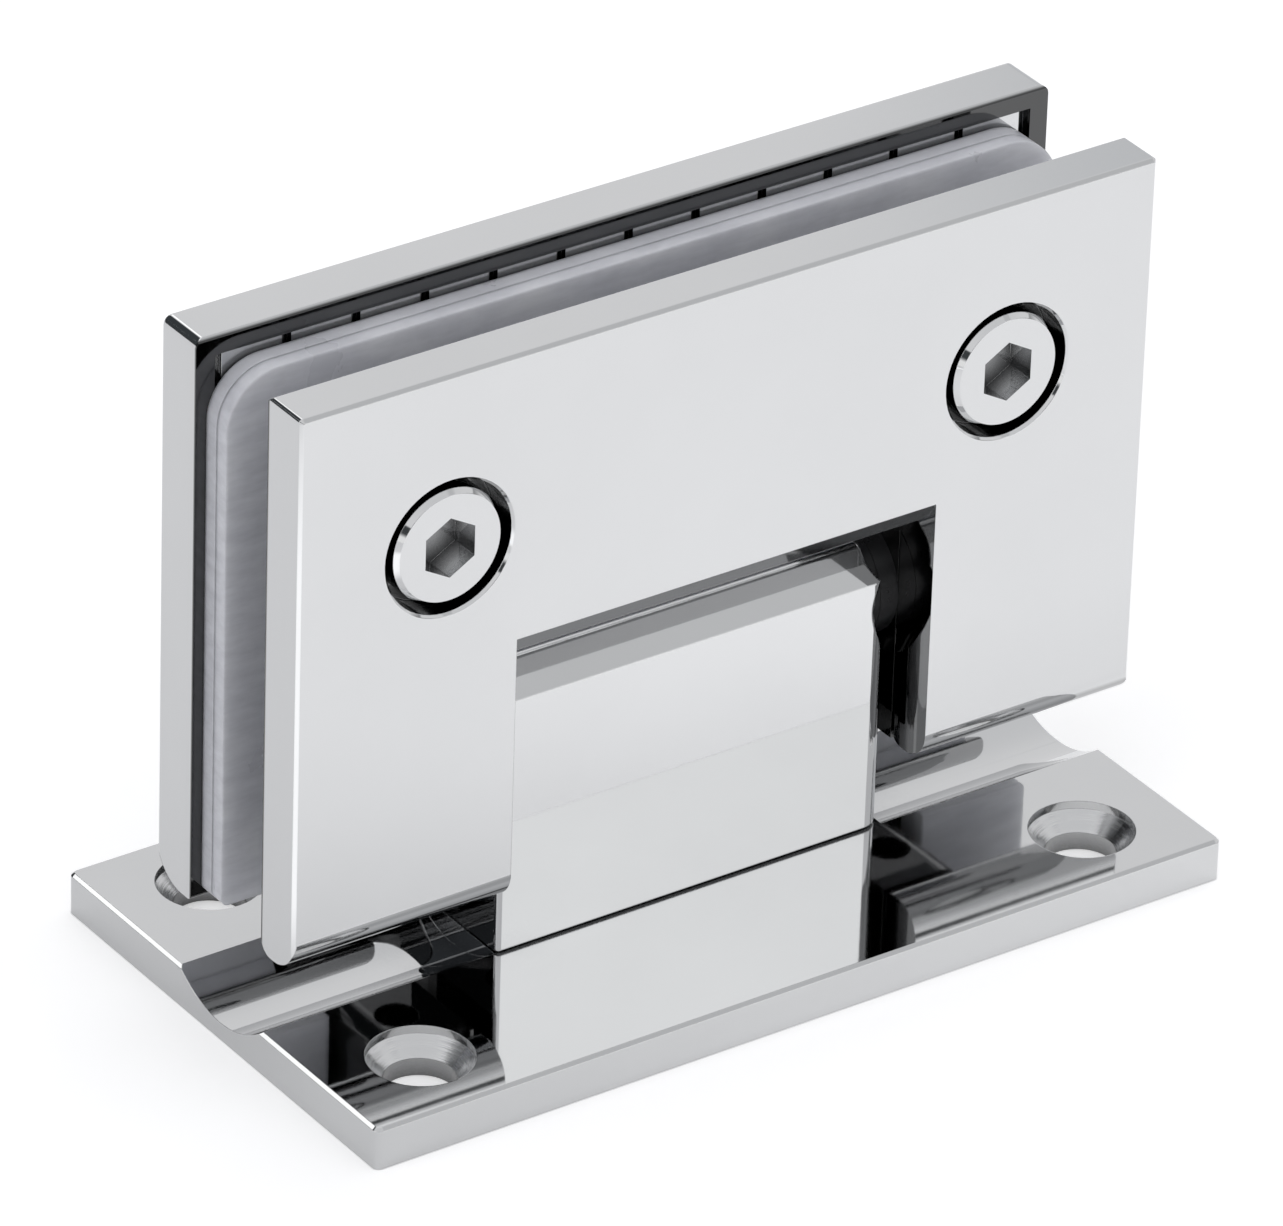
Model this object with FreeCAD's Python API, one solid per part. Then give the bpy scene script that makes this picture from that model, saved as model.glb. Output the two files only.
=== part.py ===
import FreeCAD, Part
import math
import os

from FreeCAD import Vector

# Glass door hinge: a wall plate with an upright pivot block, and a split leaf
# that clamps the glass and swings on a pin through the block.
# Origin: middle of the wall plate's underside. X runs along the pin, the clamp
# screws face -Y, and Z points away from the wall.

# Wall plate
plate_length = 90.0
plate_width = 49.5
plate_thickness = 4.1
plate_bevel = 0.3
plate_corner_round = 0.7
channel_width = 13.0
channel_depth = 2.4
wall_hole_inset_x = 9.7
wall_hole_inset_y = 7.95
wall_hole_radius = 3.3
wall_head_radius = 4.85
wall_head_recess = 0.8

# Pivot block
block_length = 41.4
block_thickness = 13.4
block_height = 28.15
block_chamfer = 2.9
block_crown_round = 1.4
block_round_left = 0.5
block_round_right = 2.0
block_bevel = 0.25

# Pin and its bearings
pin_height = 26.6
pin_radius = 4.0
pin_length = 61.0
pin_bevel = 0.5
pin_flat_distance = 3.3
cam_length = 18.4
bushing_wall = 0.95
bushing_length = 8.8
flange_radius = 5.7
flange_thickness = 2.0
mouth_depth = 2.6
mouth_inner_radius = 6.3
mouth_radius_left = 6.55
mouth_radius_right = 8.0
washer_side_play = 0.05
running_clearance = 0.05
seat_clearance = 0.02
pin_bore_clearance = 0.2

# Detent plungers and springs under the pin
plunger_spacing = 9.2
plunger_radius = 3.4
plunger_length = 9.0
plunger_pocket_radius = 2.5
plunger_pocket_depth = 6.0
plunger_crown = 0.4
plunger_pin_gap = 0.2
spring_wire_radius = 0.45
spring_outer_radius = 2.3
spring_turns = 5.0
spring_wire_corners = 6

# Screws that hold the block on the plate
block_screw_spacing = 29.0
block_screw_radius = 3.0
block_screw_head_radius = 5.5
block_screw_sink = 0.2
block_screw_grip = 12.0
block_screw_tip_room = 1.0
block_screw_hex = 4.0
block_screw_hex_depth = 2.0
thread_clearance = 0.05

# Leaf covers
cover_length = 89.0
front_thickness = 5.0
back_thickness = 5.5
front_bottom = 11.8
back_bottom = 10.9
cover_top = 66.4
cover_bevel = 0.35
front_end_round = 0.4
back_end_round = 0.9
front_foot_round = 3.0
front_heel_round = 1.5
back_foot_round = 4.0
back_heel_round = 0.6
back_corner_round = 0.5
clamp_gap = 11.2
block_side_gap = 1.35
cutout_top = 36.5
cutout_bevel_height = 1.9
cutout_bevel_depth = 1.2

# Gasket pockets on the inner faces of the covers
pocket_rim = 1.9
pocket_depth = 0.4
groove_width = 0.9
groove_depth = 0.6
groove_count = 13

# Pin cheeks and screw bosses of the back cover
cheek_width = 8.95
cheek_bottom = 12.0
cheek_top = 34.0
cheek_round = 3.0
cheek_front_clearance = 0.1
boss_radius = 5.5
boss_front_clearance = 1.0

# Clamp screws
clamp_screw_inset = 15.33
clamp_screw_rise = 13.1
clamp_screw_radius = 3.0
clamp_head_radius = 5.55
clamp_head_height = 3.2
clamp_head_bevel = 0.45
clamp_recess_radius = 6.4
clamp_recess_bevel = 0.25
clamp_hole_clearance = 0.3
clamp_hex = 5.0
clamp_hex_depth = 3.0
clamp_screw_reach = 7.0
clamp_tip_room = 0.6

# Set screws that lock the pin in the cheeks
set_screw_radius = 2.0
set_screw_length = 8.0
set_screw_flat_depth = 0.4
set_screw_hex = 2.0
set_screw_hex_depth = 2.0

# Gaskets
gasket_thickness = 1.6
gasket_end_inset = 1.1
gasket_top_inset = 2.75
gasket_bottom_inset = 0.7
gasket_top_round = 5.2
gasket_foot_round = 0.8
gasket_cheek_clearance = 1.0
gasket_notch_clearance = 0.3
gasket_notch_round = 3.0
gasket_boss_clearance = 0.5

# Places that follow from the sizes above
SIDES = {"left": -1, "right": 1}
block_top = plate_thickness + block_height
wall_hole_x = plate_length / 2 - wall_hole_inset_x
wall_hole_y = plate_width / 2 - wall_hole_inset_y
bushing_outer_radius = pin_radius + running_clearance + bushing_wall
mouth_floor = block_length / 2 - mouth_depth
bushing_inner_end = mouth_floor - bushing_length
flange_outer_end = mouth_floor + flange_thickness
cover_inner = clamp_gap / 2
front_outer = cover_inner + front_thickness
back_outer = cover_inner + back_thickness
pocket_floor = cover_inner + pocket_depth
cheek_inner = block_length / 2 + block_side_gap
cheek_outer = cheek_inner + cheek_width
cheek_middle = cheek_inner + cheek_width / 2
cheek_front = cover_inner - cheek_front_clearance
boss_front = cover_inner - boss_front_clearance
clamp_screw_x = cover_length / 2 - clamp_screw_inset
clamp_screw_height = cutout_top + clamp_screw_rise
plunger_top = pin_height - pin_radius - plunger_pin_gap
plunger_bottom = plunger_top - plunger_length
big = 4 * plate_length


def box(x0, x1, y0, y1, z0, z1):
    return Part.makeBox(x1 - x0, y1 - y0, z1 - z0, Vector(x0, y0, z0))


def rod_x(radius, x0, x1, y, z):
    return Part.makeCylinder(radius, x1 - x0, Vector(x0, y, z), Vector(1, 0, 0))


def rod_y(radius, y0, y1, x, z):
    return Part.makeCylinder(radius, y1 - y0, Vector(x, y0, z), Vector(0, 1, 0))


def rod_z(radius, z0, z1, x, y):
    return Part.makeCylinder(radius, z1 - z0, Vector(x, y, z0), Vector(0, 0, 1))


def hex_prism(across_flats, start, direction, depth):
    """Six-sided key socket whose flats stand upright, sunk from start along direction."""
    corner_radius = across_flats / math.sqrt(3.0)
    turn = FreeCAD.Rotation(Vector(0, 0, 1), direction)
    corners = []
    for k in range(7):
        angle = math.radians(60.0 * k)
        flat_point = Vector(corner_radius * math.sin(angle), corner_radius * math.cos(angle), 0)
        corners.append(start + turn.multVec(flat_point))
    face = Part.Face(Part.makePolygon(corners))
    return face.extrude(direction * depth)


def revolve_x(profile):
    """Solid of revolution about the pin axis from (x, radius) points."""
    points = [Vector(x, 0, pin_height + r) for x, r in profile]
    points.append(points[0])
    face = Part.Face(Part.makePolygon(points))
    return face.revolve(Vector(0, 0, pin_height), Vector(1, 0, 0), 360)


def mirrored(shape, side):
    """The same piece on the left or right half of the hinge."""
    if side > 0:
        return shape
    return shape.mirror(Vector(0, 0, 0), Vector(1, 0, 0))


def edges_where(shape, test):
    chosen = []
    for edge in shape.Edges:
        if test(edge):
            chosen.append(edge)
    return chosen


def edge_lies_in(edge, axis, value):
    """True when the whole edge lies in the plane axis = value."""
    bounds = edge.BoundBox
    low = (bounds.XMin, bounds.YMin, bounds.ZMin)[axis]
    high = (bounds.XMax, bounds.YMax, bounds.ZMax)[axis]
    return abs(low - value) < 1e-4 and abs(high - value) < 1e-4


def edge_is_upright(edge):
    bounds = edge.BoundBox
    return bounds.XLength < 1e-4 and bounds.YLength < 1e-4


def wall_plate():
    half_length = plate_length / 2
    half_width = plate_width / 2
    plate = box(-half_length, half_length, -half_width, half_width, 0, plate_thickness)
    plate = plate.makeFillet(plate_corner_round, edges_where(plate, edge_is_upright))
    rim = edges_where(plate, lambda e: edge_lies_in(e, 2, plate_thickness))
    plate = plate.makeChamfer(plate_bevel, rim)

    # The channel is a shallow arc that runs out to both ends from the block
    arc_radius = (channel_width**2 / 4 + channel_depth**2) / (2 * channel_depth)
    arc_height = plate_thickness - channel_depth + arc_radius
    for side in SIDES.values():
        groove = rod_x(arc_radius, block_length / 2, big, 0, arc_height)
        plate = plate.cut(mirrored(groove, side))

    # Countersunk wall-screw holes
    for sx in SIDES.values():
        for sy in (-1, 1):
            x = sx * wall_hole_x
            y = sy * wall_hole_y
            plate = plate.cut(rod_z(wall_hole_radius, -1, plate_thickness + 1, x, y))
            seat_top = plate_thickness - wall_head_recess
            plate = plate.cut(rod_z(wall_head_radius, seat_top, plate_thickness + 1, x, y))
            cone_height = wall_head_radius - wall_hole_radius
            cone = Part.makeCone(wall_hole_radius, wall_head_radius, cone_height,
                                 Vector(x, y, seat_top - cone_height))
            plate = plate.cut(cone)

    # Holes for the block screws, countersunk from underneath
    for sx in SIDES.values():
        x = sx * block_screw_spacing / 2
        plate = plate.cut(rod_z(block_screw_radius, -1, plate_thickness + 1, x, 0))
        plate = plate.cut(block_screw_head(x, 0.0, -1.0))
    return plate


def block_screw_head(x, clearance, z_low):
    """Countersunk head, or its seat, with the wide end down."""
    radius = block_screw_head_radius + clearance
    height = radius - block_screw_radius
    cone = Part.makeCone(radius, block_screw_radius, height, Vector(x, 0, block_screw_sink))
    if z_low < block_screw_sink:
        cone = cone.fuse(rod_z(radius, z_low, block_screw_sink, x, 0))
    return cone


def block_screw(side):
    x = side * block_screw_spacing / 2
    head = block_screw_head(x, -thread_clearance, block_screw_sink)
    tip = plate_thickness + block_screw_grip
    shank = rod_z(block_screw_radius - thread_clearance, block_screw_sink, tip, x, 0)
    screw = head.fuse(shank)
    socket = hex_prism(block_screw_hex, Vector(x, 0, block_screw_sink), Vector(0, 0, 1),
                       block_screw_hex_depth)
    return screw.cut(socket).removeSplitter()


def pivot_block():
    half_length = block_length / 2
    half_thickness = block_thickness / 2
    block = box(-half_length, half_length, -half_thickness, half_thickness,
                plate_thickness, block_top)
    for side, radius in ((-1, block_round_left), (1, block_round_right)):
        corners = edges_where(
            block, lambda e: edge_is_upright(e) and side * e.BoundBox.XMin > half_length - 1e-3)
        block = block.makeFillet(radius, corners)
    foot_edges = edges_where(block, lambda e: edge_lies_in(e, 2, plate_thickness))
    block = block.makeChamfer(block_bevel, foot_edges)

    # 45 degree chamfers along the front and back top edges
    for sy in (-1, 1):
        outline = [
            Vector(-big, sy * (half_thickness - block_chamfer), block_top),
            Vector(-big, sy * half_thickness, block_top - block_chamfer),
            Vector(-big, sy * (half_thickness + block_chamfer), block_top),
        ]
        outline.append(outline[0])
        wedge = Part.Face(Part.makePolygon(outline)).extrude(Vector(2 * big, 0, 0))
        block = block.cut(wedge)
    crown = edges_where(block, lambda e: edge_lies_in(e, 2, block_top) and e.BoundBox.YLength < 1e-4)
    block = block.makeFillet(block_crown_round, crown)

    # Pin bore, bushing seats and the conical mouths at both ends
    block = block.cut(rod_x(pin_radius + pin_bore_clearance, -big, big, 0, pin_height))
    for side, outer_radius in ((-1, mouth_radius_left), (1, mouth_radius_right)):
        seat = rod_x(bushing_outer_radius, bushing_inner_end, big, 0, pin_height)
        mouth = revolve_x([
            (mouth_floor, 0),
            (mouth_floor, mouth_inner_radius),
            (half_length, outer_radius),
            (half_length + 1, outer_radius),
            (half_length + 1, 0),
        ])
        block = block.cut(mirrored(seat.fuse(mouth), side))

    # Upright bores for the plungers and tapped holes for the block screws
    for side in SIDES.values():
        x = side * plunger_spacing / 2
        bore = rod_z(plunger_radius + running_clearance, plate_thickness - 1, pin_height, x, 0)
        block = block.cut(bore)
        x = side * block_screw_spacing / 2
        hole_end = plate_thickness + block_screw_grip + block_screw_tip_room
        block = block.cut(rod_z(block_screw_radius, plate_thickness - 1, hole_end, x, 0))
    return block


def bushing():
    """Flanged sleeve at the right-hand end of the block."""
    inner = pin_radius + running_clearance
    outer = bushing_outer_radius - seat_clearance
    return revolve_x([
        (bushing_inner_end, inner),
        (bushing_inner_end, outer),
        (mouth_floor, outer),
        (mouth_floor, flange_radius),
        (flange_outer_end, flange_radius),
        (flange_outer_end, inner),
    ])


def thrust_washer():
    """Disc between the bushing's flange and the cheek, on the right-hand side."""
    inner = pin_radius + seat_clearance
    return revolve_x([
        (flange_outer_end + washer_side_play, inner),
        (flange_outer_end + washer_side_play, flange_radius),
        (cheek_inner, flange_radius),
        (cheek_inner, inner),
    ])


def pivot_pin():
    end = pin_length / 2
    pin = revolve_x([
        (-end, 0),
        (-end, pin_radius - pin_bevel),
        (-end + pin_bevel, pin_radius),
        (end - pin_bevel, pin_radius),
        (end, pin_radius - pin_bevel),
        (end, 0),
    ])

    # Four cam flats in the middle, for the plungers
    half_cam = cam_length / 2
    for turn in range(4):
        flat = box(-half_cam, half_cam, -big, big, pin_flat_distance, big)
        flat.rotate(Vector(0, 0, 0), Vector(1, 0, 0), 90 * turn)
        flat.translate(Vector(0, 0, pin_height))
        pin = pin.cut(flat)

    # One flat under each set screw
    for side in SIDES.values():
        x = side * cheek_middle
        seat = pin_height - pin_radius + set_screw_flat_depth
        half_seat = set_screw_radius + set_screw_flat_depth
        pin = pin.cut(box(x - half_seat, x + half_seat, -big, big, 0, seat))
    return pin


def detent_plunger(side):
    x = side * plunger_spacing / 2
    plunger = rod_z(plunger_radius, plunger_bottom, plunger_top, x, 0)
    plunger = plunger.makeChamfer(
        plunger_crown, edges_where(plunger, lambda e: edge_lies_in(e, 2, plunger_top)))
    pocket_top = plunger_bottom + plunger_pocket_depth
    return plunger.cut(rod_z(plunger_pocket_radius, plunger_bottom - 1, pocket_top, x, 0))


def detent_spring(side):
    x = side * plunger_spacing / 2
    coil_radius = spring_outer_radius - spring_wire_radius
    low = plate_thickness + spring_wire_radius
    high = plunger_bottom + plunger_pocket_depth - spring_wire_radius
    pitch = (high - low) / spring_turns
    path = Part.makeHelix(pitch, high - low, coil_radius)
    corners = []
    for k in range(spring_wire_corners + 1):
        angle = 2 * math.pi * k / spring_wire_corners
        across = spring_wire_radius * math.cos(angle)
        corners.append(Vector(coil_radius + across, 0, spring_wire_radius * math.sin(angle)))
    coil = Part.Wire(path.Edges).makePipeShell([Part.makePolygon(corners)], True, True)
    coil.translate(Vector(x, 0, low))
    return coil


def cover_slab(reach, bottom, end_trim, foot, heel):
    """Cover plate facing -Y, still without its holes: rounded foot and heel, bevelled top.

    Reach is the distance of the outer face from the middle of the leaf.
    """
    outer = -reach
    inner = -cover_inner
    near_arc = 1 - math.sqrt(0.5)
    top_front = Vector(0, outer + cover_bevel, cover_top)
    top_low = Vector(0, outer, cover_top - cover_bevel)
    foot_high = Vector(0, outer, bottom + foot)
    foot_middle = Vector(0, outer + foot * near_arc, bottom + foot * near_arc)
    foot_low = Vector(0, outer + foot, bottom)
    heel_low = Vector(0, inner - heel, bottom)
    heel_middle = Vector(0, inner - heel * near_arc, bottom + heel * near_arc)
    heel_high = Vector(0, inner, bottom + heel)
    top_inner = Vector(0, inner, cover_top - cover_bevel)
    top_back = Vector(0, inner - cover_bevel, cover_top)
    outline = Part.Wire([
        Part.makeLine(top_front, top_low),
        Part.makeLine(top_low, foot_high),
        Part.Arc(foot_high, foot_middle, foot_low).toShape(),
        Part.makeLine(foot_low, heel_low),
        Part.Arc(heel_low, heel_middle, heel_high).toShape(),
        Part.makeLine(heel_high, top_inner),
        Part.makeLine(top_inner, top_back),
        Part.makeLine(top_back, top_front),
    ])
    slab = Part.Face(outline).extrude(Vector(cover_length, 0, 0))
    slab.translate(Vector(-cover_length / 2, 0, 0))
    return slab.common(end_trim)


def upright_outer_edges(block, reach):
    return edges_where(block, lambda e: edge_is_upright(e) and e.BoundBox.YMin < -reach + 1e-3)


def cover_envelope(reach, bottom, end_round):
    """Block that a cover is cut from, with its two upper end edges rounded."""
    half = cover_length / 2
    envelope = box(-half, half, -reach, -cover_inner, bottom - 1, cover_top)
    ends = edges_where(envelope,
                       lambda e: edge_lies_in(e, 2, cover_top) and e.BoundBox.XLength < 1e-4)
    return envelope.makeFillet(end_round, ends)


def cut_u_shape(cover, reach):
    """Opening for the pivot block, with its upper edge bevelled on the outside."""
    half = cheek_inner
    cover = cover.cut(box(-half, half, -big, big, -big, cutout_top))
    outline = [
        Vector(-half, -reach, cutout_top),
        Vector(-half, -reach, cutout_top + cutout_bevel_height),
        Vector(-half, -reach + cutout_bevel_depth, cutout_top),
    ]
    outline.append(outline[0])
    wedge = Part.Face(Part.makePolygon(outline)).extrude(Vector(2 * half, 0, 0))
    return cover.cut(wedge)


def cut_gasket_pocket(cover, reach, frame_bottom):
    """Shallow pocket with upright grip grooves in the inner face."""
    half = cover_length / 2 - pocket_rim
    low = cheek_bottom
    high = cover_top - pocket_rim
    cover = cover.cut(box(-half, half, -pocket_floor, -cover_inner + 1, low, high))
    pitch = (2 * half - groove_width) / (groove_count - 1)
    for k in range(groove_count):
        x = -half + k * pitch
        groove = box(x, x + groove_width, -pocket_floor - groove_depth, -pocket_floor + 1, low, high)
        cover = cover.cut(groove)
    # A rim of full thickness stays around the opening for the block
    frame_half = cheek_inner + pocket_rim
    frame = box(-frame_half, frame_half, -reach + cutout_bevel_depth, -cover_inner,
                frame_bottom, cutout_top + pocket_rim)
    opening = box(-cheek_inner, cheek_inner, -big, big, -big, cutout_top)
    return cover.fuse(frame.cut(opening))


def front_cover():
    trim = cover_envelope(front_outer, front_bottom, front_end_round)
    trim = trim.makeChamfer(cover_bevel, upright_outer_edges(trim, front_outer))
    slab = cover_slab(front_outer, front_bottom, trim, front_foot_round, front_heel_round)
    cover = cut_u_shape(slab, front_outer)
    cover = cut_gasket_pocket(cover, front_outer, front_bottom + front_foot_round)
    for side in SIDES.values():
        x = side * clamp_screw_x
        recess_floor = -front_outer + clamp_head_height
        pad = rod_y(clamp_recess_radius, recess_floor, -cover_inner, x, clamp_screw_height)
        cover = cover.fuse(pad)
        cover = cover.cut(rod_y(clamp_recess_radius, -front_outer - 1, recess_floor, x,
                                clamp_screw_height))
        cover = cover.cut(rod_y(clamp_screw_radius + clamp_hole_clearance, -big, 0, x,
                                clamp_screw_height))
        lip = Part.makeCone(clamp_recess_radius + clamp_recess_bevel, clamp_recess_radius,
                            clamp_recess_bevel, Vector(x, -front_outer, clamp_screw_height),
                            Vector(0, 1, 0))
        cover = cover.cut(lip)
    return cover


def back_cover():
    trim = cover_envelope(back_outer, back_bottom, back_end_round)
    trim = trim.makeFillet(back_corner_round, upright_outer_edges(trim, back_outer))
    slab = cover_slab(back_outer, back_bottom, trim, back_foot_round, back_heel_round)
    cover = cut_u_shape(slab, back_outer)
    cover = cut_gasket_pocket(cover, back_outer, back_bottom + back_foot_round)
    cover = cover.mirror(Vector(0, 0, 0), Vector(0, 1, 0))

    for side in SIDES.values():
        cheek = box(cheek_inner, cheek_outer, -cheek_front, cover_inner, cheek_bottom, cheek_top)
        outer_corners = edges_where(
            cheek, lambda e: e.BoundBox.XMin > cheek_outer - 1e-3 and e.BoundBox.ZLength < 1e-3)
        cheek = cheek.makeFillet(cheek_round, outer_corners)
        root = box(cheek_inner, cheek_outer, cover_inner, pocket_floor + groove_depth,
                   cheek_bottom, cheek_top)
        cover = cover.fuse(mirrored(cheek.fuse(root), side))
        x = side * clamp_screw_x
        boss = rod_y(boss_radius, -boss_front, pocket_floor + groove_depth, x, clamp_screw_height)
        cover = cover.fuse(boss)

    # Pin bore through both cheeks, tapped holes for the screws
    cover = cover.cut(rod_x(pin_radius + seat_clearance, -cheek_outer - 1, cheek_outer + 1,
                            0, pin_height))
    for side in SIDES.values():
        x = side * cheek_middle
        cover = cover.cut(rod_z(set_screw_radius, 0, pin_height, x, 0))
        x = side * clamp_screw_x
        cover = cover.cut(rod_y(clamp_screw_radius, -big, clamp_screw_reach + clamp_tip_room,
                                x, clamp_screw_height))
    return cover


def clamp_screw(side):
    x = side * clamp_screw_x
    face = -front_outer
    head = rod_y(clamp_head_radius, face, face + clamp_head_height, x, clamp_screw_height)
    head = head.makeChamfer(clamp_head_bevel, edges_where(head, lambda e: edge_lies_in(e, 1, face)))
    shank = rod_y(clamp_screw_radius - thread_clearance, face + clamp_head_height - 1,
                  clamp_screw_reach, x, clamp_screw_height)
    socket = hex_prism(clamp_hex, Vector(x, face, clamp_screw_height), Vector(0, 1, 0),
                       clamp_hex_depth)
    return head.fuse(shank).cut(socket).removeSplitter()


def pin_set_screw(side):
    x = side * cheek_middle
    tip = pin_height - pin_radius + set_screw_flat_depth
    foot = tip - set_screw_length
    screw = rod_z(set_screw_radius - thread_clearance, foot, tip, x, 0)
    socket = hex_prism(set_screw_hex, Vector(x, 0, foot), Vector(0, 0, 1), set_screw_hex_depth)
    return screw.cut(socket)


def gasket(y_front):
    """Clear sheet with round upper corners, a notch for the cheeks and two boss holes."""
    half = cover_length / 2 - gasket_end_inset
    low = back_bottom + gasket_bottom_inset
    high = cover_top - gasket_top_inset
    y_back = y_front + gasket_thickness
    sheet = box(-half, half, y_front, y_back, low, high)

    def across(edge):
        bounds = edge.BoundBox
        return bounds.XLength < 1e-4 and bounds.ZLength < 1e-4

    sheet = sheet.makeFillet(
        gasket_top_round, edges_where(sheet, lambda e: across(e) and e.BoundBox.ZMin > high - 1e-3))
    sheet = sheet.makeFillet(
        gasket_foot_round, edges_where(sheet, lambda e: across(e) and e.BoundBox.ZMin < low + 1e-3))

    notch_half = cheek_outer + gasket_cheek_clearance
    notch_top = cutout_top + gasket_notch_clearance
    notch = box(-notch_half, notch_half, y_front - 1, y_back + 1, low - 2 * gasket_notch_round,
                notch_top)
    notch = notch.makeFillet(
        gasket_notch_round,
        edges_where(notch, lambda e: across(e) and e.BoundBox.ZMin > notch_top - 1e-3))
    sheet = sheet.cut(notch)
    for side in SIDES.values():
        x = side * clamp_screw_x
        hole = rod_y(boss_radius + gasket_boss_clearance, y_front - 1, y_back + 1, x,
                     clamp_screw_height)
        sheet = sheet.cut(hole)
    return sheet


def build():
    parts = {
        "wall_plate": wall_plate(),
        "pivot_block": pivot_block(),
        "pivot_pin": pivot_pin(),
        "front_cover": front_cover(),
        "back_cover": back_cover(),
        "gasket_back": gasket(cover_inner - gasket_thickness),
        "gasket_front": gasket(cover_inner - 2 * gasket_thickness),
    }
    for name, side in SIDES.items():
        parts["block_screw_" + name] = block_screw(side)
        parts["bushing_" + name] = mirrored(bushing(), side)
        parts["thrust_washer_" + name] = mirrored(thrust_washer(), side)
        parts["detent_plunger_" + name] = detent_plunger(side)
        parts["detent_spring_" + name] = detent_spring(side)
        parts["pin_set_screw_" + name] = pin_set_screw(side)
        parts["clamp_screw_" + name] = clamp_screw(side)
    return parts


def main():
    os.makedirs("parts", exist_ok=True)
    for name, shape in build().items():
        if len(shape.Solids) != 1 or not shape.isValid():
            print("check", name, "solids", len(shape.Solids), "valid", shape.isValid())
        shape.exportStep("parts/" + name + ".step")
        print(name, round(shape.Volume, 2))


main()
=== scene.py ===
import math

import bpy
from mathutils import Matrix, Vector


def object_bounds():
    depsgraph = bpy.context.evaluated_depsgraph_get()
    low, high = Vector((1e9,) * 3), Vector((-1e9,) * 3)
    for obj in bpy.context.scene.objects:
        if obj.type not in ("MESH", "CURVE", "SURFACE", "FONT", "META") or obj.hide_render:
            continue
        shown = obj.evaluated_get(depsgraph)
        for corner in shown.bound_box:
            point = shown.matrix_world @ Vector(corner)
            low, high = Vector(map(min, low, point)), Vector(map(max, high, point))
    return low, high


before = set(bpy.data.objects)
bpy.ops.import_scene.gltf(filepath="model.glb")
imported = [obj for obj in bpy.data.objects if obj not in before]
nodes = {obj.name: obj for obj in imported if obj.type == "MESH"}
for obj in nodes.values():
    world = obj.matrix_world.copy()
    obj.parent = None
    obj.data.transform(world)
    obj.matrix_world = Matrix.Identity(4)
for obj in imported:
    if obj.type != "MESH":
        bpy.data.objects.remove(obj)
cad_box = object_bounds()

# Camera, from the photograph's viewing angle
CAMERA_PLACE = (-0.506052, -0.709214, 0.540001)
CAMERA_RIGHT = (0.82409253, -0.56574312, 0.02839401)
CAMERA_UP = (0.26631725, 0.43119804, 0.86205764)
CAMERA_BACK = (-0.49994662, -0.70285345, 0.50601423)
CAMERA_LENS_MM = 324.24
CAMERA_SENSOR_MM = 36.0
CAMERA_NEAR = 0.05
CAMERA_FAR = 50.0

# Softbox above the hinge
SOFTBOX_DIRECTION = (0.05, 0.1, 0.99)
SOFTBOX_RADIANCE = 0.42
SOFTBOX_SIZE = 1.0
SOFTBOX_DISTANCE = 1.2

# Tones of the studio tent
WHITE = (1.0, 1.0, 1.0)
TENT_LOW = (0.87, 0.87, 0.88)
TENT_TOP = (0.76, 0.765, 0.78)
HORIZON_TONE = (1.05, 1.05, 1.05)
BACK_LEFT_TONE = (0.05, 0.055, 0.06)
BACK_RIGHT_TONE = (0.68, 0.69, 0.71)
GAP_TONE = (0.06, 0.065, 0.068)

# Where the tones of the tent begin and where they are full, in parts of a unit direction
TOP_HEIGHT = (0.45, 0.95)
FRONT_DEPTH = (-0.05, -0.35)
HORIZON_HEIGHT = (0.16, 0.10)
BACK_DEPTH = (0.3, 0.5)
BACK_LEFT_SIDE = (0.14, 0.06)
BACK_LEFT_HEIGHT = (0.8, 0.72)
BACK_RIGHT_SIDE = (-0.20, -0.14)
BACK_RIGHT_HEIGHT = (0.505, 0.47)
GAP_BOTTOM_HEIGHT = (0.11, 0.21)
GAP_TOP_HEIGHT = (0.38, 0.34)

# Round cards in the tent: direction, degrees to where full, degrees to the edge, tone
LEFT_CARD = ((-1.0, 0.0, 0.3), 22, 30, (1.12, 1.12, 1.14))
TOP_EDGE_CARD = ((0.29, 0.70, 0.65), 5, 7, (1.6, 1.6, 1.6))
PLATE_EDGE_CARD = ((-0.538, 0.707, 0.46), 1.0, 2.2, (1.6, 1.6, 1.6))
FRONT_CARD = ((0.5, -0.703, 0.506), 4.5, 6.5, (1.46, 1.46, 1.46))
CHAMFER_CARD = ((0.5, -0.506, 0.703), 4, 7, (0.65, 0.655, 0.665))

# Floor, its added light, which in reflections is painted light and shade, and where that begins and
# is full, in metres
FLOOR_HALF = 6.0
FLOOR_DROP = 0.00005
FLOOR_COLOUR = (0.88, 0.88, 0.885)
FLOOR_LIFT = 0.39
FLOOR_LIFT_BEHIND = 0.17
FLOOR_LIFT_STRIP = 0.75
FLOOR_PAINTED_SHADE = 0.10
FRONT_REACH = (-0.06, 0.06)
PAINTED_SHADE_NEAR_PLATE_REACH = (-0.05, -0.027)
PAINTED_SHADE_NEAR_PLATE_END = (-0.022, -0.016)
STRIP_NEAR_EDGE = (-0.075, -0.058)
STRIP_FAR_EDGE = (-0.03, -0.042)
STRIP_LEFT_END = (-0.07, -0.1)

# In the materials, a noise is scale, detail and roughness; a bump is strength and height in
# metres; a span is where something begins and is full; a share is how much of a colour stays
NOISE_SPAN = (0.3, 0.7)
LOOK_SAMPLES = 8

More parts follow.
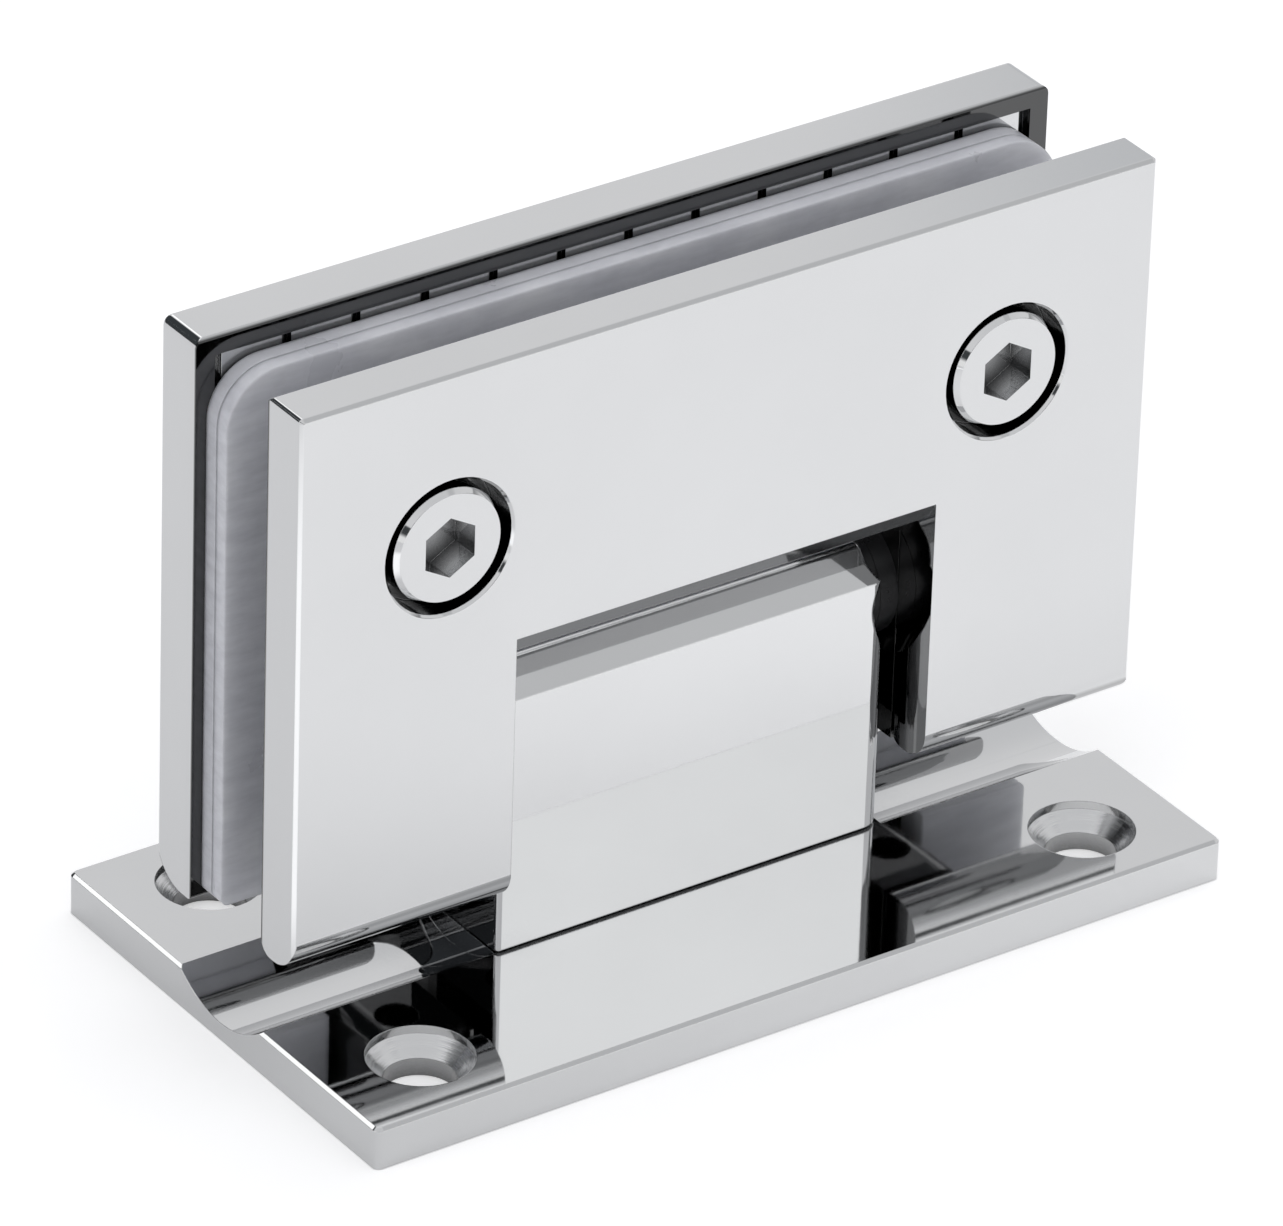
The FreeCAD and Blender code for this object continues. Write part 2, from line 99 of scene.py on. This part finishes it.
# Polished chrome
CHROME = (0.67, 0.675, 0.68)
CHROME_PLATE = (0.65, 0.655, 0.66)
# Painted light: the block's chrome is a lighter copy of the same plating, to brighten its faces
CHROME_BLOCK_PAINTED_LIGHT = (0.71, 0.715, 0.72)
CHROME_ROUGHNESS = (0.03, 0.06)
SMUDGE_NOISE = (55.0, 4.0, 0.55)
SMUDGE_SPAN = (0.35, 0.75)
SMUDGE_SHARE = 0.975
GRAIN_NOISE = (900.0, 2.0, 0.5)
GRAIN_BUMP = (0.03, 0.00002)
BLOCK_EDGE_ROUND = 0.00022
COVER_EDGE_ROUND = 0.00012
SCREW_EDGE_ROUND = 0.0001
PLATE_EDGE_ROUND = 0.00008
INNER_EDGE_ROUND = 0.00003
# Painted shade: the chrome's colour is darkened where ambient occlusion finds tight recesses; reach
# in metres, openness span, share of colour that stays
PAINTED_SHADE_REACH = 0.012
PAINTED_SHADE_OPENNESS = (0.05, 0.48)
PAINTED_SHADE_SHARE = 0.04

# Painted shade on faces that look into the leaf: the colour left, how far each kind is darkened,
# where
INNER_PAINTED_SHADE_SHARE = 0.15
INWARD_PAINTED_SHADE = 0.75
DOWNWARD_PAINTED_SHADE = 0.5
COVER_GAP_HALF = 0.0057
COVER_GAP_SOFT = 0.00015
INWARD_FACING = (-0.8, -0.95)
DOWNWARD_FACING = (-0.3, -0.5)
END_FACING = (0.8, 0.95)

# Countersinks of the wall plate
WALL_HOLE_PLACE = (0.0353, 0.0168)
WALL_HEAD_RADIUS = 0.00486
WALL_HEAD_SOFT = 0.00004
TURNED_ROUGHNESS = (0.1, 0.3)
TURNED_NOISE = (4200.0, 3.0, 0.7)
TURNED_BUMP = (0.5, 0.00008)

# Ground steel, black plastic and the gaskets
STEEL = (0.52, 0.52, 0.53)
STEEL_DARK_SHARE = 0.85
STEEL_SCREW_SHARE = 0.8
STEEL_ROUGHNESS = (0.22, 0.42)
STEEL_NOISE = (700.0, 4.0, 0.6)
STEEL_BUMP = (0.15, 0.00003)
BEARING_BLACK = (0.012, 0.012, 0.013)
BEARING_LIGHT_SHARE = 1.8
BEARING_ROUGHNESS = (0.24, 0.38)
BEARING_NOISE = (400.0, 4.0, 0.5)
BEARING_SPAN = (0.35, 0.65)
BEARING_BUMP = (0.1, 0.00003)
GASKET = (0.90, 0.915, 1.0)
GASKET_DARK_SHARE = 0.82
GASKET_ROUGHNESS = (0.26, 0.42)
GASKET_EDGE_ROUND = 0.0004
GASKET_IOR = 1.46
GASKET_CLEARNESS = 0.1
GASKET_SCATTER = 0.5
GASKET_SCATTER_REACH = 0.004
GASKET_SPAN = (0.38, 0.6)
CLOUD_NOISE = (110.0, 5.0, 0.6)
CLOUD_STRETCH = (1, 1, 0.6)
STREAK_NOISE = (420.0, 3.0, 0.6)
STREAK_STRETCH = (0.45, 1, 1.9)
STREAK_BUMP = (0.2, 0.00005)
FINE_NOISE = (1400.0, 3.0, 0.5)
FINE_BUMP = (0.1, 0.00002)


class Graph:
    """A short way to add and join shader nodes."""

    def __init__(self, tree):
        self.tree = tree

    def add(self, kind, inputs=None, **settings):
        made = self.tree.nodes.new(kind)
        for name, value in settings.items():
            setattr(made, name, value)
        for key, value in (inputs or {}).items():
            self.feed(made, key, value)
        return made

    def feed(self, node, key, value):
        """Link an input to a socket or to a node's first output, or else set its value."""
        socket = node.inputs[key]
        if isinstance(value, bpy.types.NodeSocket):
            self.tree.links.new(value, socket)
        elif isinstance(value, bpy.types.Node):
            self.tree.links.new(value.outputs[0], socket)
        else:
            socket.default_value = value

    def math(self, operation, first, second=None):
        inputs = {0: first} if second is None else {0: first, 1: second}
        return self.add("ShaderNodeMath", inputs, operation=operation)

    def product(self, first, *others):
        for other in others:
            first = self.math("MULTIPLY", first, other)
        return first

    def spread(self, value, low, high, to_low=0.0, to_high=1.0, smooth=False):
        kind = "SMOOTHSTEP" if smooth else "LINEAR"
        return self.add("ShaderNodeMapRange", {"Value": value, "From Min": low, "From Max": high,
                                               "To Min": to_low, "To Max": to_high},
                        interpolation_type=kind)

    def rise(self, value, span):
        """0 at the span's start and 1 at its end, with soft ends."""
        return self.spread(value, *span, smooth=True)

    def vary(self, noise, to_span):
        return self.spread(noise, *NOISE_SPAN, *to_span)

    def blend(self, share, first, second):
        """Mix two colours, each a socket or three numbers."""
        mixed = self.add("ShaderNodeMix", data_type="RGBA")
        self.feed(mixed, 0, share)
        for key, colour in ((6, first), (7, second)):
            self.feed(mixed, key, (*colour, 1.0) if isinstance(colour, tuple) else colour)
        return mixed.outputs[2]

    def place(self, stretch=(1, 1, 1)):
        """A point of the piece in its own coordinates."""
        place = self.add("ShaderNodeTexCoord").outputs["Object"]
        return self.add("ShaderNodeMapping", {"Vector": place, "Scale": stretch})

    def noise(self, place, scale, detail, rough):
        return self.add("ShaderNodeTexNoise", {"Vector": place, "Scale": scale, "Detail": detail,
                                               "Roughness": rough})

    def soft_edges(self, radius):
        return self.add("ShaderNodeBevel", {"Radius": radius}, samples=LOOK_SAMPLES)

    def bump(self, strength, distance, height, normal=None):
        inputs = {"Strength": strength, "Distance": distance, "Height": height}
        if normal is not None:
            inputs["Normal"] = normal
        return self.add("ShaderNodeBump", inputs)


def shade(colour, share):
    return tuple(c * share for c in colour)


def new_material(name):
    made = bpy.data.materials.new(name)
    made.use_nodes = True
    made.node_tree.nodes.clear()
    graph = Graph(made.node_tree)
    surface = graph.add("ShaderNodeBsdfPrincipled")
    graph.add("ShaderNodeOutputMaterial", {"Surface": surface})
    return made, graph, surface


def leaf_painted_shade_weight(graph):
    """Painted shade weight: 1 between the covers, less on the faces that look at the block or down
    at the plate.
    """
    texture = graph.add("ShaderNodeTexCoord")
    place = graph.add("ShaderNodeSeparateXYZ", {0: texture.outputs["Object"]})
    facing = graph.add("ShaderNodeSeparateXYZ", {0: texture.outputs["Normal"]})
    depth = graph.math("ABSOLUTE", place.outputs[1])
    between = graph.spread(depth, COVER_GAP_HALF + COVER_GAP_SOFT, COVER_GAP_HALF)
    side = graph.product(graph.math("SIGN", place.outputs[0]), facing.outputs[0])
    inward = graph.spread(side, *INWARD_FACING, 0.0, INWARD_PAINTED_SHADE)
    down = graph.spread(facing.outputs[2], *DOWNWARD_FACING, 0.0, DOWNWARD_PAINTED_SHADE)
    return graph.math("MAXIMUM", between, graph.math("MAXIMUM", inward, down))


def block_end_painted_shade_weight(graph):
    """Painted shade weight: above 0 on the block's ends, which face the cheeks of the leaf across a
    narrow gap.
    """
    texture = graph.add("ShaderNodeTexCoord")
    facing = graph.add("ShaderNodeSeparateXYZ", {0: texture.outputs["Normal"]})
    sideways = graph.math("ABSOLUTE", facing.outputs[0])
    return graph.spread(sideways, *END_FACING, 0.0, INWARD_PAINTED_SHADE)


def turned_seat_weight(graph):
    """1 inside the countersinks of the plate, and the distance from their axes."""
    place = graph.add("ShaderNodeSeparateXYZ", {0: graph.place()})
    squares = []
    for side, middle in zip(place.outputs, WALL_HOLE_PLACE):
        offset = graph.math("SUBTRACT", graph.math("ABSOLUTE", side), middle)
        squares.append(graph.product(offset, offset))
    distance = graph.math("SQRT", graph.math("ADD", *squares))
    weight = graph.spread(distance, WALL_HEAD_RADIUS, WALL_HEAD_RADIUS - WALL_HEAD_SOFT)
    return weight, distance


def polished_chrome(name, colour, edge_round, inner=None, turned=False):
    """Mirror plating: soft rounded edges, a trace of unevenness, painted shade in tight recesses
    and on the faces that a given weight picks.
    """
    made, graph, surface = new_material(name)
    place = graph.place()
    smudge = graph.noise(place, *SMUDGE_NOISE)
    grain = graph.noise(place, *GRAIN_NOISE)
    finish = graph.vary(smudge, CHROME_ROUGHNESS)
    clean = graph.blend(graph.spread(smudge, *SMUDGE_SPAN), colour, shade(colour, SMUDGE_SHARE))
    # Painted shade: faces picked by the weight keep only a small share of their colour
    if inner:
        weight = inner(graph)
        clean = graph.blend(weight, clean, shade(colour, INNER_PAINTED_SHADE_SHARE))
        edge_round = graph.spread(weight, 0.0, 1.0, edge_round, INNER_EDGE_ROUND)
    # Painted shade: colour darkened where ambient occlusion finds close surfaces
    shade_probe = graph.add("ShaderNodeAmbientOcclusion", {"Distance": PAINTED_SHADE_REACH},
                       samples=LOOK_SAMPLES, only_local=False)
    openness = graph.rise(shade_probe.outputs["AO"], PAINTED_SHADE_OPENNESS)
    bump = graph.bump(*GRAIN_BUMP, grain, graph.soft_edges(edge_round))
    if turned:
        seat, distance = turned_seat_weight(graph)
        ring = graph.add("ShaderNodeCombineXYZ", {0: distance})
        marks = graph.noise(ring, *TURNED_NOISE)
        rough = graph.vary(marks, TURNED_ROUGHNESS)
        finish = graph.add("ShaderNodeMix", {0: seat, 2: finish, 3: rough}, data_type="FLOAT")
        strength, depth = TURNED_BUMP
        bump = graph.bump(graph.product(seat, strength), depth, marks, bump)
    graph.feed(surface, "Metallic", 1.0)
    graph.feed(surface, "Base Color", graph.blend(openness, shade(colour, PAINTED_SHADE_SHARE), clean))
    graph.feed(surface, "Roughness", finish)
    graph.feed(surface, "Normal", bump)
    return made


def satin_steel(name, colour=STEEL):
    """Ground steel with fine marks."""
    made, graph, surface = new_material(name)
    lines = graph.noise(graph.place(), *STEEL_NOISE)
    tone = graph.blend(graph.spread(lines, *NOISE_SPAN), shade(colour, STEEL_DARK_SHARE), colour)
    graph.feed(surface, "Metallic", 1.0)
    graph.feed(surface, "Base Color", tone)
    graph.feed(surface, "Roughness", graph.vary(lines, STEEL_ROUGHNESS))
    graph.feed(surface, "Normal", graph.bump(*STEEL_BUMP, lines))
    return made


def black_bearing(name):
    """Black bearing plastic, slightly mottled."""
    made, graph, surface = new_material(name)
    mottle = graph.noise(graph.place(), *BEARING_NOISE)
    tone = graph.blend(graph.spread(mottle, *BEARING_SPAN), BEARING_BLACK,
                       shade(BEARING_BLACK, BEARING_LIGHT_SHARE))
    graph.feed(surface, "Base Color", tone)
    graph.feed(surface, "Roughness", graph.vary(mottle, BEARING_ROUGHNESS))
    graph.feed(surface, "Normal", graph.bump(*BEARING_BUMP, mottle))
    return made


def frosted_gasket(name):
    """Clear flexible sheet, clouded, with faint flow marks."""
    made, graph, surface = new_material(name)
    cloud = graph.noise(graph.place(CLOUD_STRETCH), *CLOUD_NOISE)
    streak = graph.noise(graph.place(STREAK_STRETCH), *STREAK_NOISE)
    fine = graph.noise(graph.place(), *FINE_NOISE)
    marks = graph.math("ADD", graph.product(cloud, 0.5), graph.product(streak, 0.5))
    tone = graph.blend(graph.spread(marks, *GASKET_SPAN), shade(GASKET, GASKET_DARK_SHARE), GASKET)
    bump = graph.bump(*STREAK_BUMP, streak, graph.soft_edges(GASKET_EDGE_ROUND))
    graph.feed(surface, "Base Color", tone)
    graph.feed(surface, "Roughness", graph.vary(cloud, GASKET_ROUGHNESS))
    graph.feed(surface, "IOR", GASKET_IOR)
    graph.feed(surface, "Transmission Weight", GASKET_CLEARNESS)
    graph.feed(surface, "Subsurface Weight", GASKET_SCATTER)
    graph.feed(surface, "Subsurface Radius", (1.0, 1.0, 1.0))
    graph.feed(surface, "Subsurface Scale", GASKET_SCATTER_REACH)
    graph.feed(surface, "Normal", graph.bump(*FINE_BUMP, fine, bump))
    return made


def dress(names, material):
    for name in names:
        mesh = nodes[name].data
        mesh.materials.clear()
        mesh.materials.append(material)


def both(name):
    return [name + "_left", name + "_right"]


def dress_nodes():
    dress(["wall_plate"],
          polished_chrome("chrome_plate", CHROME_PLATE, PLATE_EDGE_ROUND, turned=True))
    dress(["pivot_block"],
          polished_chrome("chrome_block_painted_light", CHROME_BLOCK_PAINTED_LIGHT, BLOCK_EDGE_ROUND, inner=block_end_painted_shade_weight))
    dress(["front_cover", "back_cover"],
          polished_chrome("chrome_covers", CHROME, COVER_EDGE_ROUND, inner=leaf_painted_shade_weight))
    dress(both("clamp_screw"), polished_chrome("chrome_screws", CHROME, SCREW_EDGE_ROUND))
    dress(["pivot_pin"] + both("detent_plunger") + both("detent_spring"),
          satin_steel("steel_ground"))
    dress(both("block_screw") + both("pin_set_screw"),
          satin_steel("steel_screws", shade(STEEL, STEEL_SCREW_SHARE)))
    dress(both("bushing") + both("thrust_washer"), black_bearing("bearing_black"))
    dress(["gasket_front", "gasket_back"], frosted_gasket("gasket_frosted"))


def make_camera():
    camera = bpy.data.objects.new("camera", bpy.data.cameras.new("camera"))
    bpy.context.scene.collection.objects.link(camera)
    turn = Matrix((CAMERA_RIGHT, CAMERA_UP, CAMERA_BACK)).transposed()
    camera.matrix_world = Matrix.Translation(CAMERA_PLACE) @ turn.to_4x4()
    camera.data.lens = CAMERA_LENS_MM
    camera.data.sensor_width = CAMERA_SENSOR_MM
    camera.data.clip_start = CAMERA_NEAR
    camera.data.clip_end = CAMERA_FAR
    bpy.context.scene.camera = camera


def floor_painted_light_in_reflections(graph):
    """Painted light on the floor, seen only in reflections: less behind the hinge and just in front
    of the plate's edge (painted shade), a bright strip at left.
    """
    place = graph.add("ShaderNodeSeparateXYZ", {0: graph.place()})
    across, along = place.outputs[0], place.outputs[1]
    toward_front = graph.math("SUBTRACT", across, along)
    lift = graph.spread(toward_front, *FRONT_REACH, FLOOR_LIFT_BEHIND, FLOOR_LIFT, smooth=True)

    # Painted shade: the added light dims just in front of the plate's front edge
    toward_plate = graph.spread(along, *PAINTED_SHADE_NEAR_PLATE_REACH, 0.0, FLOOR_PAINTED_SHADE, smooth=True)
    before_plate = graph.spread(along, *PAINTED_SHADE_NEAR_PLATE_END, 1.0, 0.0, smooth=True)
    painted_shade_near_plate = graph.product(toward_plate, before_plate)
    lift = graph.product(lift, graph.math("SUBTRACT", 1.0, painted_shade_near_plate))

    strip = graph.product(graph.rise(toward_front, STRIP_NEAR_EDGE),
                          graph.rise(toward_front, STRIP_FAR_EDGE),
                          graph.rise(graph.math("ADD", across, along), STRIP_LEFT_END))
    return graph.math("MAXIMUM", lift, graph.product(strip, FLOOR_LIFT_STRIP))


def make_floor():
    """A wide pale floor that shows white to the camera and keeps a faint shadow."""
    mesh = bpy.data.meshes.new("floor")
    corners = [(x * FLOOR_HALF, y * FLOOR_HALF, 0) for x, y in ((-1, -1), (1, -1), (1, 1), (-1, 1))]
    mesh.from_pydata(corners, [], [(0, 1, 2, 3)])
    floor = bpy.data.objects.new("floor", mesh)
    floor.location.z = -FLOOR_DROP
    bpy.context.scene.collection.objects.link(floor)

    made, graph, surface = new_material("floor_pale")
    ray = graph.add("ShaderNodeLightPath")
    reflected = graph.math("MAXIMUM", ray.outputs["Is Glossy Ray"],
                           ray.outputs["Is Transmission Ray"])
    lift = graph.math("ADD", graph.product(ray.outputs["Is Camera Ray"], FLOOR_LIFT),
                      graph.product(reflected, floor_painted_light_in_reflections(graph)))
    graph.feed(surface, "Base Color", (*FLOOR_COLOUR, 1.0))
    graph.feed(surface, "Roughness", 1.0)
    graph.feed(surface, "Specular IOR Level", 0.0)
    graph.feed(surface, "Emission Color", (*WHITE, 1.0))
    graph.feed(surface, "Emission Strength", lift)
    mesh.materials.append(made)


def add_card(graph, under, direction, centre, inner, outer, tone):
    """Lay a round card with a soft edge over the surroundings."""
    facing = graph.add("ShaderNodeVectorMath", {0: direction, 1: Vector(centre).normalized()},
                       operation="DOT_PRODUCT")
    span = (math.cos(math.radians(outer)), math.cos(math.radians(inner)))
    return graph.blend(graph.rise(facing.outputs["Value"], span), under, tone)


def make_world():
    """Studio surroundings: a pale tent, dark behind at left and in a gap in front, with cards."""
    world = bpy.data.worlds.new("studio")
    world.use_nodes = True
    bpy.context.scene.world = world
    world.node_tree.nodes.clear()
    graph = Graph(world.node_tree)
    direction = graph.add("ShaderNodeTexCoord").outputs["Generated"]
    across, along, height = graph.add("ShaderNodeSeparateXYZ", {0: direction}).outputs
    tent = graph.blend(graph.rise(height, TOP_HEIGHT), TENT_LOW, TENT_TOP)

    in_front = graph.rise(along, FRONT_DEPTH)
    horizon = graph.product(in_front, graph.rise(height, HORIZON_HEIGHT))
    tent = graph.blend(horizon, tent, HORIZON_TONE)

    behind = graph.rise(along, BACK_DEPTH)
    back_left = graph.product(behind, graph.rise(across, BACK_LEFT_SIDE),
                              graph.rise(height, BACK_LEFT_HEIGHT))
    tent = graph.blend(back_left, tent, BACK_LEFT_TONE)

    rightward = graph.rise(graph.math("SUBTRACT", across, along), BACK_RIGHT_SIDE)
    back_right = graph.product(behind, rightward, graph.rise(height, BACK_RIGHT_HEIGHT))
    tent = graph.blend(back_right, tent, BACK_RIGHT_TONE)

    gap = graph.product(in_front, graph.rise(height, GAP_BOTTOM_HEIGHT),
                        graph.rise(height, GAP_TOP_HEIGHT))
    colour = graph.blend(gap, tent, GAP_TONE)

    for card in (LEFT_CARD, TOP_EDGE_CARD, PLATE_EDGE_CARD, FRONT_CARD, CHAMFER_CARD):
        colour = add_card(graph, colour, direction, *card)
    ray = graph.add("ShaderNodeLightPath")
    shown = graph.blend(ray.outputs["Is Camera Ray"], colour, WHITE)
    background = graph.add("ShaderNodeBackground", {"Color": shown, "Strength": 1.0})
    graph.add("ShaderNodeOutputWorld", {"Surface": background})


def make_softbox():
    lamp = bpy.data.lights.new("softbox", "AREA")
    lamp.shape = "SQUARE"
    lamp.size = SOFTBOX_SIZE
    lamp.energy = SOFTBOX_RADIANCE * math.pi * SOFTBOX_SIZE ** 2
    box = bpy.data.objects.new("softbox", lamp)
    toward = Vector(SOFTBOX_DIRECTION).normalized()
    middle = (Vector(cad_box[0]) + Vector(cad_box[1])) / 2
    box.location = middle + toward * SOFTBOX_DISTANCE
    box.rotation_mode = "QUATERNION"
    box.rotation_quaternion = toward.to_track_quat("Z", "Y")
    bpy.context.scene.collection.objects.link(box)


dress_nodes()
make_camera()
make_floor()
make_world()
make_softbox()
bpy.context.scene.view_settings.view_transform = "Standard"
